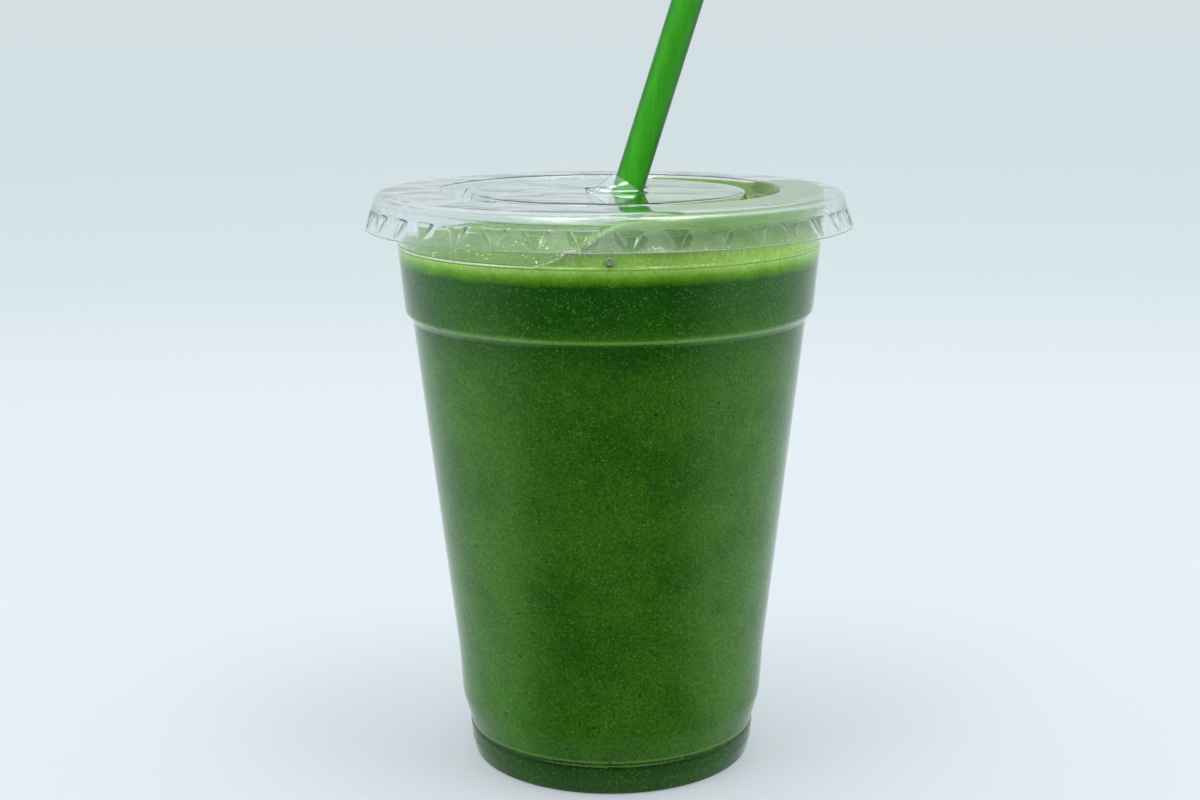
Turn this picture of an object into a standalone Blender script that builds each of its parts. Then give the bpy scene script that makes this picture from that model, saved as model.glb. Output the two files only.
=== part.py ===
"""A green smoothie in a clear cup with a flat lid and a straw.

Units are metres. The origin is the middle of the cup's foot, on the surface that it stands on, and +Z is up.
The straw leans towards +X. The smoothie is low at the cup's left and banked up to the lid at its right.
"""

import math

import bmesh
import bpy
from mathutils import Vector

MM = 0.001
MERGE = 0.02 * MM

# The gap left between pieces that touch.
GAP = 0.3 * MM

# Cup: a thin sheet turned about Z. These are the sizes of its outer side.
CUP_STEPS = 48
CUP_WALL = 0.5 * MM
CUP_HEIGHT = 121.6 * MM
RIM_RADIUS = 48.65 * MM
RIM_CURL_RADIUS = 1.7 * MM
RIM_CURL_STEPS = 6
RIM_LIP_HEIGHT = 119.2 * MM
NECK_RADIUS = 44.95 * MM
NECK_HEIGHT = 117.5 * MM
COLLAR_RADIUS = 44.25 * MM
COLLAR_HEIGHT = 111.4 * MM
COLLAR_LEDGE = 0.27 * MM
COLLAR_LEDGE_HEIGHT = 0.5 * MM
STEP_TOP_RADIUS = 42.75 * MM
STEP_TOP_HEIGHT = 99.2 * MM
STEP_LOW_RADIUS = 41.4 * MM
STEP_LOW_HEIGHT = 95.7 * MM
BODY_TOP_RADIUS = 40.82 * MM
BODY_TOP_HEIGHT = 94.6 * MM
BODY_LOW_RADIUS = 33.3 * MM
BODY_LOW_HEIGHT = 24.0 * MM
BELLY_RADIUS = 32.63 * MM
BELLY_HEIGHT = 13.8 * MM
BELLY_POWER = 1.8
BELLY_ROWS = 4
GROOVE_RADIUS = 30.8 * MM
GROOVE_HEIGHT = 6.9 * MM
FOOT_RADIUS = 30.95 * MM
FOOT_HEIGHT = 6.4 * MM
FOOT_ROUNDING = 0.6 * MM
FOOT_RING_WIDTH = 2.2 * MM
KICK_RADIUS = 26.4 * MM
KICK_EDGE_HEIGHT = 2.2 * MM
KICK_HEIGHT = 2.6 * MM

# Lid: a thin sheet turned about Z, with a fluted skirt. These are the sizes of its upper side.
LID_WALL = 0.45 * MM
LID_TOP = 122.4 * MM
DISC_TOP = 122.05 * MM
DISC_RADIUS = 28.7 * MM
CHANNEL_FLOOR = 118.6 * MM
CHANNEL_INNER_RADIUS = 29.4 * MM
CHANNEL_OUTER_RADIUS = 34.8 * MM
RING_INNER_RADIUS = 35.6 * MM
RING_OUTER_RADIUS = 48.4 * MM
RING_ROUNDING = 1.0 * MM
RING_ROUNDING_END = 10.0
RING_ROUNDING_STEPS = 2
LID_SIDE_RADIUS = 49.45 * MM
LID_SIDE_HEIGHT = 119.5 * MM
SKIRT_TOP = 119.2 * MM
SKIRT_TOP_RADIUS = 49.6 * MM
SKIRT_BOTTOM = 115.2 * MM
SKIRT_BOTTOM_RADIUS = 51.0 * MM
FLUTES = 36
FLUTE_DEPTH = 0.3 * MM

# The folds of one flute along the skirt's top: where each lies, as a share of the flute, and 1 out or -1 in.
FLUTE_FOLDS = ((0.06, 1), (0.14, -1), (0.61, -1), (0.69, 1))
LID_STEPS = FLUTES * len(FLUTE_FOLDS)

# Cross cut: a square hole with four triangular flaps. The front flap stands up and the others hang down.
# The crease and tip of the front flap are how far in from its hinge, how high, how wide each way and how far
# sideways they are.
SLOT_X = 1.2 * MM
SLOT_HALF = 6.7 * MM
SLOT_CUT_HEIGHT = 2.0 * MM
FLAP_THICKNESS = 0.3 * MM
FLAP_ROOT = 0.8 * MM
FLAP_END_GAP = 0.6 * MM
FLAP_HANG_RIGHT = math.radians(76.0)
FLAP_HANG_BACK = math.radians(64.0)
FLAP_HANG_LEFT = math.radians(60.0)
FLAP_FRONT_CREASE = (2.1 * MM, 1.8 * MM, 3.7 * MM, 0.2 * MM)
FLAP_FRONT_TIP = (4.9 * MM, 3.7 * MM, 0.0, -0.5 * MM)

# Straw: a thin tube that leans in the XZ plane.
STRAW_RADIUS = 3.2 * MM
STRAW_WALL = 0.25 * MM
STRAW_LENGTH = 197.0 * MM
STRAW_TILT = math.radians(17.7)
STRAW_AT_LID = Vector((4.0 * MM, 0.0, 122.0 * MM))
STRAW_END_HEIGHT = 24.0 * MM
STRAW_SIDES = 24

# Smoothie: its level at the left, and the bank that rises to the right from a line near the middle.
SMOOTHIE_LEVEL = 111.5 * MM
SMOOTHIE_RINGS = (8.0 * MM, 16.0 * MM, 22.0 * MM, 28.0 * MM)
BANK_START = Vector((-4.6 * MM, 0.0))
BANK_HEADING = math.radians(-13.0)
BANK_WIDTH = 14.0 * MM
BANK_POWER = 1.3
MIDDLE_CEILING = 114.6 * MM
MIDDLE_RADIUS = 11.0 * MM
MIDDLE_EDGE_RADIUS = 26.4 * MM
BANK_EDGE_FLARE = 1.5 * MM

CLEAR_COLOUR = (0.86, 0.91, 0.91)
STRAW_COLOUR = (0.035, 0.30, 0.035)
SMOOTHIE_COLOUR = (0.03, 0.115, 0.012)
CLEAR_ALPHA = 0.3
CLEAR_ROUGHNESS = 0.08
STRAW_ROUGHNESS = 0.3
SMOOTHIE_ROUGHNESS = 0.35


def clear_scene():
    for old in list(bpy.data.objects):
        bpy.data.objects.remove(old)


def new_collection(name, cutters=False):
    made = bpy.data.collections.new(name)
    made.hide_render = cutters
    bpy.context.scene.collection.children.link(made)
    return made


def new_material(name, colour, roughness, alpha=1.0):
    made = bpy.data.materials.new(name)
    made.use_nodes = True
    surface = made.node_tree.nodes["Principled BSDF"]
    surface.inputs["Base Color"].default_value = (*colour, 1.0)
    surface.inputs["Roughness"].default_value = roughness
    surface.inputs["Metallic"].default_value = 0.0
    surface.inputs["Alpha"].default_value = alpha
    return made


def new_object(name, mesh, collection, material=None):
    made = bpy.data.objects.new(name, mesh)
    collection.objects.link(made)
    if material:
        mesh.materials.append(material)
    return made


def new_cutter(name, mesh, collection):
    made = new_object(name, mesh, collection)
    made.hide_render = True
    made.display_type = "WIRE"
    return made


def mesh_from(work, name):
    mesh = bpy.data.meshes.new(name)
    work.to_mesh(mesh)
    work.free()
    return mesh


def arc(centre, radius, start, end, steps):
    """Points of an arc in the plane of radius and height, from start to end in degrees, both included."""
    angles = [math.radians(start + (end - start) * i / steps) for i in range(steps + 1)]
    return [(centre[0] + radius * math.cos(a), centre[1] + radius * math.sin(a)) for a in angles]


def inset(outline, distance):
    """An outline that runs down its outer side, moved in by distance, with its corners mitred."""
    points = [Vector(point) for point in outline]
    inward = []
    for here, after in zip(points, points[1:]):
        run = (after - here).normalized()
        inward.append(Vector((run.y, -run.x)))
    moved = []
    for i, point in enumerate(points):
        first = inward[max(i - 1, 0)]
        second = inward[min(i, len(inward) - 1)]
        corner = (first + second).normalized()
        moved.append(tuple(point + corner * (distance / corner.dot(first))))
    return moved


def turned(name, profile, steps, collection, material):
    """A profile of radii and heights, turned about Z. It runs down its outer side."""
    mesh = bpy.data.meshes.new(name)
    edges = [(i, i + 1) for i in range(len(profile) - 1)]
    mesh.from_pydata([(radius, 0.0, height) for radius, height in profile], edges, [])
    made = new_object(name, mesh, collection, material)
    screw = made.modifiers.new("turn", "SCREW")
    screw.axis = "Z"
    screw.angle = math.tau
    screw.steps = steps
    screw.render_steps = steps
    screw.use_merge_vertices = True
    screw.merge_threshold = MERGE
    screw.use_smooth_shade = True
    return made


def thicken(obj, wall, offset=-1.0):
    shell = obj.modifiers.new("wall", "SOLIDIFY")
    shell.thickness = wall
    shell.offset = offset
    shell.use_even_offset = True


def apply_modifiers(obj):
    bpy.context.view_layer.update()
    graph = bpy.context.evaluated_depsgraph_get()
    mesh = bpy.data.meshes.new_from_object(obj.evaluated_get(graph))
    obj.modifiers.clear()
    obj.data = mesh


def combine(obj, operation, others):
    """One exact Boolean with every object of a collection, which are removed once it is applied."""
    modifier = obj.modifiers.new(operation.lower(), "BOOLEAN")
    modifier.operation = operation
    modifier.solver = "EXACT"
    modifier.operand_type = "COLLECTION"
    modifier.collection = others
    apply_modifiers(obj)
    for old in list(others.objects):
        bpy.data.objects.remove(old)


def belly():
    """The curve from the belly down and in to the groove above the foot."""
    points = []
    for i in range(BELLY_ROWS + 1):
        up = 1.0 - i / BELLY_ROWS
        radius = BELLY_RADIUS - (BELLY_RADIUS - GROOVE_RADIUS) * (1.0 - up) ** BELLY_POWER
        points.append((radius, GROOVE_HEIGHT + (BELLY_HEIGHT - GROOVE_HEIGHT) * up))
    return points


def cup_side():
    """The cup's outer side, from its collar down and under its foot to the axis."""
    ring_outer = FOOT_RADIUS - FOOT_ROUNDING
    return [
        (COLLAR_RADIUS, COLLAR_HEIGHT),
        (STEP_TOP_RADIUS, STEP_TOP_HEIGHT),
        (STEP_LOW_RADIUS, STEP_LOW_HEIGHT),
        (BODY_TOP_RADIUS, BODY_TOP_HEIGHT),
        (BODY_LOW_RADIUS, BODY_LOW_HEIGHT),
        *belly(),
        (FOOT_RADIUS, FOOT_HEIGHT),
        (FOOT_RADIUS, FOOT_ROUNDING),
        (ring_outer, 0.0),
        (ring_outer - FOOT_RING_WIDTH, 0.0),
        (KICK_RADIUS, KICK_EDGE_HEIGHT),
        (0.0, KICK_HEIGHT),
    ]


def cup_rim():
    """The rolled rim, from its lip over its top and down to the collar."""
    centre = (RIM_RADIUS - RIM_CURL_RADIUS, CUP_HEIGHT - RIM_CURL_RADIUS)
    under = RIM_CURL_RADIUS - CUP_WALL
    return [
        (RIM_RADIUS - CUP_WALL, RIM_LIP_HEIGHT),
        *arc(centre, under, 0.0, 180.0, RIM_CURL_STEPS),
        (NECK_RADIUS, NECK_HEIGHT),
        (COLLAR_RADIUS - COLLAR_LEDGE, COLLAR_HEIGHT + COLLAR_LEDGE_HEIGHT),
    ]


def build_cup(collection, material):
    cup = turned("cup", cup_rim() + cup_side(), CUP_STEPS, collection, material)
    thicken(cup, CUP_WALL)


def lid_outline():
    """The lid's upper side, from the axis out across the disc, channel and ring and down the skirt."""
    shoulder = (RING_OUTER_RADIUS, LID_TOP - RING_ROUNDING)
    return [
        (0.0, DISC_TOP),
        (DISC_RADIUS, DISC_TOP),
        (CHANNEL_INNER_RADIUS, CHANNEL_FLOOR),
        (CHANNEL_OUTER_RADIUS, CHANNEL_FLOOR),
        (RING_INNER_RADIUS, LID_TOP),
        *arc(shoulder, RING_ROUNDING, 90.0, RING_ROUNDING_END, RING_ROUNDING_STEPS),
        (LID_SIDE_RADIUS, LID_SIDE_HEIGHT),
        (SKIRT_TOP_RADIUS, SKIRT_TOP),
        (SKIRT_BOTTOM_RADIUS, SKIRT_BOTTOM),
    ]


def flute(mesh):
    """Folds the skirt into flat panels, in and out by turns at its top, that fade to a circle at its edge."""
    for vertex in mesh.vertices:
        x, y, z = vertex.co
        if z > SKIRT_TOP + MERGE:
            continue
        share = (z - SKIRT_BOTTOM) / (SKIRT_TOP - SKIRT_BOTTOM)
        column = round(math.atan2(y, x) / math.tau * LID_STEPS) % LID_STEPS
        index, fold = divmod(column, len(FLUTE_FOLDS))
        place, swing = FLUTE_FOLDS[fold]
        even = fold / len(FLUTE_FOLDS)
        turn = math.tau * (index + even + (place - even) * share) / FLUTES
        radius = math.hypot(x, y) + FLUTE_DEPTH * swing * share
        vertex.co = (radius * math.cos(turn), radius * math.sin(turn), z)


def add_flap(name, heading, rows, collection):
    """A flap as a thin bent sheet, whose hinge lies out from the cross cut's middle in that heading.
    A row is how far in from the hinge, how high, how wide each way and how far sideways it is."""
    out = Vector((math.cos(heading), math.sin(heading), 0.0))
    along = Vector((-out.y, out.x, 0.0))
    hinge = Vector((SLOT_X, 0.0, DISC_TOP - 0.5 * LID_WALL)) + out * SLOT_HALF
    wide = SLOT_HALF - FLAP_END_GAP
    rows = [(-FLAP_ROOT, 0.0, wide, 0.0), (0.0, 0.0, wide, 0.0), *rows]
    work = bmesh.new()
    bmesh.ops.create_grid(work, x_segments=1, y_segments=len(rows) - 1, size=0.5)
    for vertex in work.verts:
        inward, height, half, sideways = rows[round((vertex.co.y + 0.5) * (len(rows) - 1))]
        side = math.copysign(half, vertex.co.x)
        vertex.co = hinge - out * inward + along * (sideways + side) + Vector((0.0, 0.0, height))
    bmesh.ops.remove_doubles(work, verts=work.verts, dist=MERGE)
    flap = new_object(name, mesh_from(work, name), collection)
    thicken(flap, FLAP_THICKNESS, offset=0.0)


def add_flaps(collection):
    for name, heading, hang in (
        ("flap_right", 0.0, FLAP_HANG_RIGHT),
        ("flap_back", 90.0, FLAP_HANG_BACK),
        ("flap_left", 180.0, FLAP_HANG_LEFT),
    ):
        tip = (SLOT_HALF * math.cos(hang), -SLOT_HALF * math.sin(hang), 0.0, 0.0)
        add_flap(name, math.radians(heading), [tip], collection)
    add_flap("flap_front", math.radians(270.0), [FLAP_FRONT_CREASE, FLAP_FRONT_TIP], collection)


def build_lid(collection, material, scratch):
    lid = turned("lid", lid_outline(), LID_STEPS, collection, material)
    apply_modifiers(lid)
    flute(lid.data)
    thicken(lid, LID_WALL)
    work = bmesh.new()
    bmesh.ops.create_cube(work, size=1.0)
    bmesh.ops.scale(work, vec=(2.0 * SLOT_HALF, 2.0 * SLOT_HALF, SLOT_CUT_HEIGHT), verts=work.verts)
    bmesh.ops.translate(work, vec=(SLOT_X, 0.0, DISC_TOP), verts=work.verts)
    new_cutter("slot_cutter", mesh_from(work, "slot_cutter"), scratch)
    combine(lid, "DIFFERENCE", scratch)
    add_flaps(scratch)
    combine(lid, "UNION", scratch)


def straw_mesh(name, radius, capped):
    work = bmesh.new()
    bmesh.ops.create_cone(
        work, cap_ends=capped, segments=STRAW_SIDES, radius1=radius, radius2=radius, depth=STRAW_LENGTH
    )
    return mesh_from(work, name)


def place_straw(obj, start_gap=0.0):
    """Leans an upright tube to where the straw lies. It may start lower by a gap."""
    axis = Vector((math.sin(STRAW_TILT), 0.0, math.cos(STRAW_TILT)))
    start = STRAW_AT_LID - axis * ((STRAW_AT_LID.z - STRAW_END_HEIGHT) / math.cos(STRAW_TILT))
    obj.location = start + axis * (0.5 * STRAW_LENGTH - start_gap)
    obj.rotation_euler = (0.0, STRAW_TILT, 0.0)


def build_straw(collection, material):
    straw = new_object("straw", straw_mesh("straw", STRAW_RADIUS, capped=False), collection, material)
    place_straw(straw)
    straw.data.shade_smooth()
    thicken(straw, STRAW_WALL)


def smooth_step(value, low, high):
    share = min(1.0, max(0.0, (value - low) / (high - low)))
    return share * share * (3.0 - 2.0 * share)


def ceiling(radius):
    """The height that the banked smoothie reaches under the lid, at that radius."""
    if radius > RING_INNER_RADIUS:
        return LID_TOP - LID_WALL - GAP
    channel = CHANNEL_FLOOR - LID_WALL - GAP
    rise = smooth_step(radius, MIDDLE_RADIUS, MIDDLE_EDGE_RADIUS)
    return MIDDLE_CEILING + (channel - MIDDLE_CEILING) * rise


def surface_height(x, y):
    """The smoothie's surface: its level at the left, rising from the bank's line to the ceiling."""
    across = Vector((math.cos(BANK_HEADING), math.sin(BANK_HEADING)))
    distance = (Vector((x, y)) - BANK_START).dot(across)
    share = min(1.0, max(0.0, distance / BANK_WIDTH))
    rise = math.sin(0.5 * math.pi * share) ** BANK_POWER
    return SMOOTHIE_LEVEL + (ceiling(math.hypot(x, y)) - SMOOTHIE_LEVEL) * rise


def raise_surface(mesh):
    """Lifts the flat top to its real height. Its rim follows the cup's wall out as it rises."""
    rim = max(math.hypot(v.co.x, v.co.y) for v in mesh.vertices if v.co.z > SMOOTHIE_LEVEL - MERGE)
    highest = ceiling(rim)
    for vertex in mesh.vertices:
        x, y, z = vertex.co
        if z < SMOOTHIE_LEVEL - MERGE:
            continue
        height = surface_height(x, y)
        radius = math.hypot(x, y)
        grow = 1.0
        if radius > rim - MERGE:
            grow += BANK_EDGE_FLARE / radius * (height - SMOOTHIE_LEVEL) / (highest - SMOOTHIE_LEVEL)
        vertex.co = (x * grow, y * grow, height)


def smoothie_profile():
    rim = COLLAR_RADIUS - COLLAR_LEDGE - CUP_WALL - GAP
    side = [(rim, SMOOTHIE_LEVEL - GAP), *inset(cup_side(), CUP_WALL + GAP)[1:]]
    channel_edge = CHANNEL_OUTER_RADIUS + LID_WALL + GAP
    ring_edge = RING_INNER_RADIUS + LID_WALL + 3.0 * GAP
    radii = (0.0, *SMOOTHIE_RINGS, channel_edge, ring_edge, 0.5 * (ring_edge + rim), rim)
    return [(radius, SMOOTHIE_LEVEL) for radius in radii] + side


def build_smoothie(collection, material, scratch):
    smoothie = turned("smoothie", smoothie_profile(), CUP_STEPS, collection, material)
    apply_modifiers(smoothie)
    raise_surface(smoothie.data)
    cutter = new_cutter("straw_cutter", straw_mesh("straw_cutter", STRAW_RADIUS + GAP, capped=True), scratch)
    place_straw(cutter, start_gap=GAP)
    combine(smoothie, "DIFFERENCE", scratch)


def main():
    clear_scene()
    model = new_collection("green_smoothie")
    scratch = new_collection("cutters", cutters=True)
    clear = new_material("clear_plastic", CLEAR_COLOUR, CLEAR_ROUGHNESS, CLEAR_ALPHA)
    green = new_material("green_plastic", STRAW_COLOUR, STRAW_ROUGHNESS)
    drink = new_material("green_smoothie", SMOOTHIE_COLOUR, SMOOTHIE_ROUGHNESS)
    build_cup(model, clear)
    build_lid(model, clear, scratch)
    build_straw(model, green)
    build_smoothie(model, drink, scratch)


main()
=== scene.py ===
"""A green smoothie in its clear cup, with a flat lid and a leaning straw, on a pale studio floor."""

import math
import random

import bmesh
import bpy
from mathutils import Matrix, Vector, noise


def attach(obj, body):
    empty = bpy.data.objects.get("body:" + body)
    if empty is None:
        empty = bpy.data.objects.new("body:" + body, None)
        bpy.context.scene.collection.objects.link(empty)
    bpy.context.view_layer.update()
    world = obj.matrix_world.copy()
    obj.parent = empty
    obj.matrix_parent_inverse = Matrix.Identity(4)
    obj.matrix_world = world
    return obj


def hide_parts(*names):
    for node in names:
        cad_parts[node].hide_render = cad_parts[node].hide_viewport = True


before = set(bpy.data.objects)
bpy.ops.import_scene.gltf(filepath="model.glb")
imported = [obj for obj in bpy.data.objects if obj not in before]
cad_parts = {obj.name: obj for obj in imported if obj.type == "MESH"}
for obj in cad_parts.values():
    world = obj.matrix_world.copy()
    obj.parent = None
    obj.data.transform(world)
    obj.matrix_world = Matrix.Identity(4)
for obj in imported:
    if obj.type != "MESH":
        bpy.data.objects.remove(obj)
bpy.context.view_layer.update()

MM = 0.001
MERGE = 0.002 * MM
TINY = 1e-9

# Camera, where the photograph was taken from.
CAMERA_AT = Vector((-2.08, -389.45, 158.53)) * MM
CAMERA_PITCH = math.radians(78.212)
CAMERA_ROLL = math.radians(-0.37)
CAMERA_LENS = 55.73
CAMERA_SENSOR = 36.0

# Cup. A corner is a radius, a height and the rounding of the corner, on the outer side.
CUP_STEPS = 192
CUP_WALL = 0.45 * MM
CUP_LONGEST_RUN = 3.0 * MM
CUP_MIDDLE_HEIGHT = 60.0 * MM
RIM_CENTRE = (46.95 * MM, 119.9 * MM)
RIM_UNDER_RADIUS = 1.22 * MM
RIM_LIP_HEIGHT = 119.2 * MM
RIM_ARC_STEPS = 14
RIM_POINTS = RIM_ARC_STEPS + 2
CUP_CORNERS = (
    (44.95, 117.5, 1.6),
    (43.93, 111.85, 0.12),
    (44.28, 111.5, 0.16),
    (42.97, 97.75, 0.6),
    (41.45, 95.7, 0.6),
    (33.3, 24.0, 60.0),
    (32.62, 13.6, 9.0),
    (30.75, 6.95, 0.5),
    (31.0, 6.45, 0.25),
    (30.8, 3.4, 2.5),
    (29.95, 0.1, 0.7),
    (28.0, 0.1, 0.6),
    (26.4, 2.0, 1.0),
    (0.0, 2.6, 0.0),
)

# The small round mark moulded into the cup's wall.
NUB_BEARING = math.radians(-90.1)
NUB_HEIGHT = 112.8 * MM
NUB_RADIUS = 1.0 * MM
NUB_SUNK = 0.05 * MM
NUB_DOME = 0.35
NUB_RIM = 0.25
NUB_RIM_SPAN = (0.35, 0.75)
NUB_SHADE_SPAN = (NUB_HEIGHT - 0.45 * MM, NUB_HEIGHT - 0.85 * MM)

# Lid. Its corners are on the upper side, from the cross cut out to the skirt's edge.
LID_WALL = 0.32 * MM
LID_LONGEST_RUN = 1.6 * MM
DISC_TOP = 122.05 * MM
RING_TOP = 122.4 * MM
CHANNEL_FLOOR = 118.6 * MM
LID_CORNERS = (
    (8.0, DISC_TOP / MM, 0.0),
    (28.5, DISC_TOP / MM, 0.7),
    (29.4, CHANNEL_FLOOR / MM, 0.6),
    (34.8, CHANNEL_FLOOR / MM, 0.6),
    (35.75, RING_TOP / MM, 0.8),
    (47.5, RING_TOP / MM, 3.0),
    (49.15, 121.35, 2.0),
    (49.57, 119.45, 0.5),
    (49.66, 119.16, 0.0),
    (49.71, 119.0, 0.0),
    (50.83, 115.8, 0.0),
    (50.98, 115.35, 0.0),
)

# The lid's faint unevenness: its size, its scale, the radii over which it starts, and where it ends.
SWELL = 0.07 * MM
SWELL_SCALE = 70.0
SWELL_SPAN = (7.0 * MM, 12.0 * MM)
SWELL_EDGE = 48.0 * MM

# The skirt's flutes. Each is folded over a few of the mesh's columns, and some of those are its sharp folds.
FLUTES = 36
FOLD_COLUMNS = 8
SHARP_FOLDS = (0, 4)
PRESSED_COLUMNS = (1, 4)
LID_STEPS = FLUTES * FOLD_COLUMNS
SKIRT_INSIDE = 45.0 * MM
SKIRT_MIDDLE_HEIGHT = 116.0 * MM
FLUTE_TOP = 119.08 * MM
FLUTE_BOTTOM = 115.9 * MM
FLUTE_DEPTH = 0.7 * MM
FLUTE_DEPTH_POWER = 0.8
FLUTE_HALF_TOP = math.radians(2.5)
FLUTE_HALF_LOW = math.radians(0.35)
FLUTE_FOLD = math.radians(0.3)
FLUTE_PLACE = 0.44
FLUTE_SEED = 11

# How one flute differs from the next: its share of the depth, and its shift and lean in degrees.
FLUTE_HABITS = ((0.8, 1.15), (-0.25, 0.25), (-0.35, 0.35))

# The skirt's cut edge: its radius and height, and how thick it is, in millimetres.
LID_EDGE_RING = (50.83, 115.22, 0.11)
LID_EDGE_SIDES = 8

# Flaps of the cross cut: heading of the hinge and how far each hangs down. The front one stands up, creased.
SLOT_MIDDLE = Vector((1.2, 0.0, 0.0)) * MM
SLOT_HALF = 6.7 * MM
SLOT_LOOP_RADIUS = LID_CORNERS[0][0] * MM
HANGING_FLAPS = ((0.0, 76.0), (90.0, 64.0), (180.0, 60.0))
FRONT_FLAP_HEADING = math.radians(270.0)
FRONT_FLAP_RISE = math.radians(42.0)
FRONT_FLAP_FOLD = math.radians(-8.0)
FRONT_CREASE_END = Vector((5.2, -3.3, 123.9)) * MM
FRONT_CREASE_WIDTH = 0.5 * MM
FLAP_GAP = 0.55 * MM
ON_LINE = 0.01 * MM
FLAP_ROWS = (0.05, 0.1, 0.16, 0.24, 0.34, 0.46, 0.6, 0.74, 0.88, 1.0)
FLAP_BEND_SHARE = 0.2
FLAP_BEND_STEPS = 24

# Straw.
STRAW_RADIUS = 3.2 * MM
STRAW_WALL = 0.25 * MM
STRAW_LENGTH = 197.0 * MM
STRAW_TILT = math.radians(17.7)
STRAW_AT_LID = Vector((4.0, 0.0, 122.0)) * MM
STRAW_END_HEIGHT = 24.0 * MM
STRAW_LIP = 0.08 * MM
STRAW_STEPS = 72
STRAW_LONGEST_RUN = 12.0 * MM

# Smoothie. It lies this far inside the wall's outer face, which is less than the wall is thick.
DRINK_INTO_WALL = 0.3 * MM
DRINK_LEVEL = 111.55 * MM
DRINK_SHOULDER = 110.6 * MM
DRINK_LONGEST_RUN = 2.0 * MM
DRINK_WIDEST = 45.6 * MM
WALL_READ_AT = 43.8 * MM
RING_STARTS_AT = 36.4 * MM
MIDDLE_LOOPS = 28
MIDDLE_LOOP_STEP = 1.2 * MM
RING_LOOPS = (34.2, 34.8, 35.1, 35.4, 35.7, 36.0, 36.4, 37.5, 38.6, 39.7, 40.8, 41.9, 42.8, 43.4)
EDGE_ROWS = 14
EDGE_BAND = 0.1 * MM
SHOULDER_GAP = 0.2 * MM

# The bank on its right: its start, which way it rises, and its width at the front, in the middle and behind.
BANK_START = Vector((-4.6, 0.0)) * MM
BANK_HEADING = math.radians(-13.0)
BANK_WIDTH_FRONT = 27.0 * MM
BANK_WIDTH = 14.0 * MM
BANK_WIDTH_BACK = 7.0 * MM
BANK_FRONT_SPAN = (-38.0 * MM, -20.0 * MM)
BANK_BACK_SPAN = (8.0 * MM, 24.0 * MM)
BANK_POWER = 1.3

# What the bank rises to: under the disc, under the channel and the ring, and lower under the ring's back.
MIDDLE_CEILING = 114.6 * MM
MIDDLE_RADIUS = 11.0 * MM
MIDDLE_EDGE = 26.4 * MM
PRESSED_UNDER = 0.3 * LID_WALL
RING_STEP_SPAN = (35.0 * MM, 36.1 * MM)
LOW_RING_HEIGHTS = (121.7 * MM, 119.4 * MM)
LOW_RING_SPAN = (36.5 * MM, 41.0 * MM)
LOW_RING_BEARINGS = (math.radians(24.0), math.radians(32.0))

# Unevenness of the bank's line and of the drink's face: a level in the noise, its scale, and its size in
# millimetres. The level part of the face has a share of it, and it fades where the bank meets the lid.
LINE_WAVES = ((0.004, 160.0, 1.1), (0.03, 700.0, 0.9))
FACE_WAVES = ((0.0, 420.0, 0.16), (0.02, 1300.0, 0.07))
FACE_LEVEL_SHARE = 0.35
FACE_HELD_SHARES = (0.8, 1.0)
FACE_HELD_RADII = (24.0 * MM, 28.0 * MM)

# Foam on the drink's face. Sizes of bubbles and heights are in millimetres and bearings in degrees.
FOAM_SEED = 5
FACE_BUBBLES = 900
FACE_BUBBLE_SIZES = (0.12, 0.42)
FACE_BUBBLE_POWER = 1.3
FACE_BUBBLE_FLAT = 0.8
FACE_FOAM_RADIUS = 44.0 * MM
FOAM_FREE_SHARE = 0.9
FOAM_FREE_RADIUS = 25.0 * MM
FOAM_LEVEL_SHARE = 0.35
FOAM_GROWS_OVER = (-6.0 * MM, 3.0 * MM)

# Foam on the wall, in clusters, one of which is made of a few that lie close together.
WALL_BUBBLES = 520
WALL_BUBBLE_SIZES = (0.1, 0.25)
WALL_BUBBLE_SUNK = 0.18 * MM
WALL_FOAM_HEIGHT = 114.45
WALL_FOAM_SPREAD = 0.22
WALL_FOAM_SPAN = (-112.0, 8.0)
WALL_CLUSTERS = 16
WALL_CLUSTER_WIDTH = 1.4
THICK_CLUSTER = (-79.0, -78.2, -80.0, -79.4)
THICK_CLUSTER_SPAN = (-81.0, -77.0)
THICK_CLUSTER_GAIN = 1.5

# Foam along the bank's edge on the wall in front.
EDGE_BUBBLES = 260
EDGE_BUBBLE_SIZES = (0.08, 0.2)
EDGE_BUBBLE_SUNK = 0.2 * MM
EDGE_FOAM_SPAN = (-109.0, -88.0)
EDGE_FOAM_POWER = 0.4
EDGE_FOAM_SPREAD = 0.12

# The drink's tones against the wall: darker in the foot, in the body, painted shade near the step,
# painted shade deepest in the collar, painted light where light comes in from the top, frothy above that,
# and painted shade in the bank behind the skirt.
FOOT_TONE = (12, 54, 0)
BODY_TONE = (38, 81, 6)
SHADE_TONE = (19, 68, 0)
COLLAR_SHADE_TONE = (6, 62, 0)
TOP_LIGHT_TONE = (80, 128, 2)
FROTH_TONE = (134, 163, 83)
BANK_SHADE_TONE = (70, 109, 29)

# Heights up the cup's side, in millimetres, and the drink's tone there, painted light and shade included.
SIDE_COLOURS = (
    (0.0, FOOT_TONE),
    (6.7, FOOT_TONE),
    (7.2, BODY_TONE),
    (88.0, BODY_TONE),
    (95.9, SHADE_TONE),
    (97.4, BODY_TONE),
    (100.2, SHADE_TONE),
    (107.7, COLLAR_SHADE_TONE),
    (109.4, TOP_LIGHT_TONE),
    (110.8, FROTH_TONE),
    (113.0, FROTH_TONE),
    (117.0, BANK_SHADE_TONE),
)
SIDE_TOP = 122.5

# How much brighter the drink is painted than it looks, because the room is dim.
DRINK_GAIN = 2.0

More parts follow.
